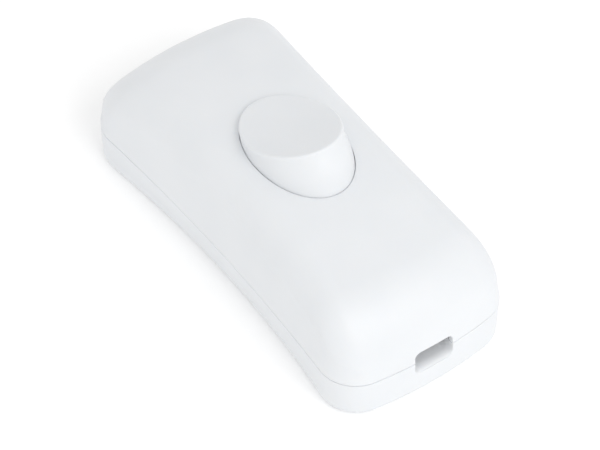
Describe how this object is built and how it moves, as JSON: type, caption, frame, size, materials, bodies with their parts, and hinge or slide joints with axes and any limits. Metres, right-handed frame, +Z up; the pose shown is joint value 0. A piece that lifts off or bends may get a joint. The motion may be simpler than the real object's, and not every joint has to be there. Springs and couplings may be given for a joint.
{
  "type": "in-line cord switch",
  "caption": "White in-line rocker switch for a flat two-core lamp cord: two waisted shells, an oval rocker, a sprung plunger, a brass contact bridge, terminals and cord clamps.",
  "frame": {"origin": "centre of the footprint at the flat underside", "axes": "+X along the cord towards the end whose rocker side is up at rest, +Y across, +Z up out of the rocker's face"},
  "size_m": [0.0608, 0.0272, 0.0241],
  "materials": {
    "white_plastic": "satin, fine moulded texture",
    "natural_nylon": "waxy",
    "terminal_brass": "stamped, satin",
    "contact_silver": "satin silver",
    "zinc_steel": "bright zinc",
    "spring_steel": "drawn wire"
  },
  "bodies": {
    "housing": {"upper_shell": "white_plastic", "lower_shell": "white_plastic", "cord_clamp_far": "natural_nylon", "cord_clamp_near": "natural_nylon", "live_in_terminal": "terminal_brass", "live_out_terminal": "terminal_brass", "neutral_bar": "terminal_brass", "fixed_contact": "contact_silver", "terminal_screw_live_in": "zinc_steel", "terminal_screw_live_out": "zinc_steel", "terminal_screw_neutral_in": "zinc_steel", "terminal_screw_neutral_out": "zinc_steel", "cord_clamp_screw_far_left": "zinc_steel", "cord_clamp_screw_far_right": "zinc_steel", "cord_clamp_screw_near_left": "zinc_steel", "cord_clamp_screw_near_right": "zinc_steel", "housing_screw_far": "zinc_steel", "housing_screw_near": "zinc_steel"},
    "rocker": {"rocker": "white_plastic", "rocker_spring": "spring_steel"},
    "plunger": {"plunger": "natural_nylon"},
    "contact_bridge": {"contact_bridge": "terminal_brass", "moving_contact": "contact_silver"}
  },
  "joints": [
    {"name": "rocker_tilt", "type": "hinge", "parent": "housing", "child": "rocker", "pos_m": [0, 0, 0.0168], "axis": [0, 1, 0], "range_deg": [0, 37]},
    {"name": "bridge_tilt", "type": "hinge", "parent": "housing", "child": "contact_bridge", "pos_m": [0, 0, 0.00654], "axis": [0, 1, 0], "range_deg": [-24, 0]},
    {"name": "plunger_slide", "type": "slide", "parent": "rocker", "child": "plunger", "axis": [-0.3173, 0, 0.9483], "range_m": [0, 0.0008], "stiffness_N_per_m": 300, "springref_m": -0.003, "deforming": ["rocker_spring"]}
  ],
  "couplings": [
    {"joint": "bridge_tilt", "follows": "rocker_tilt", "ratio": -0.64865}
  ]
}
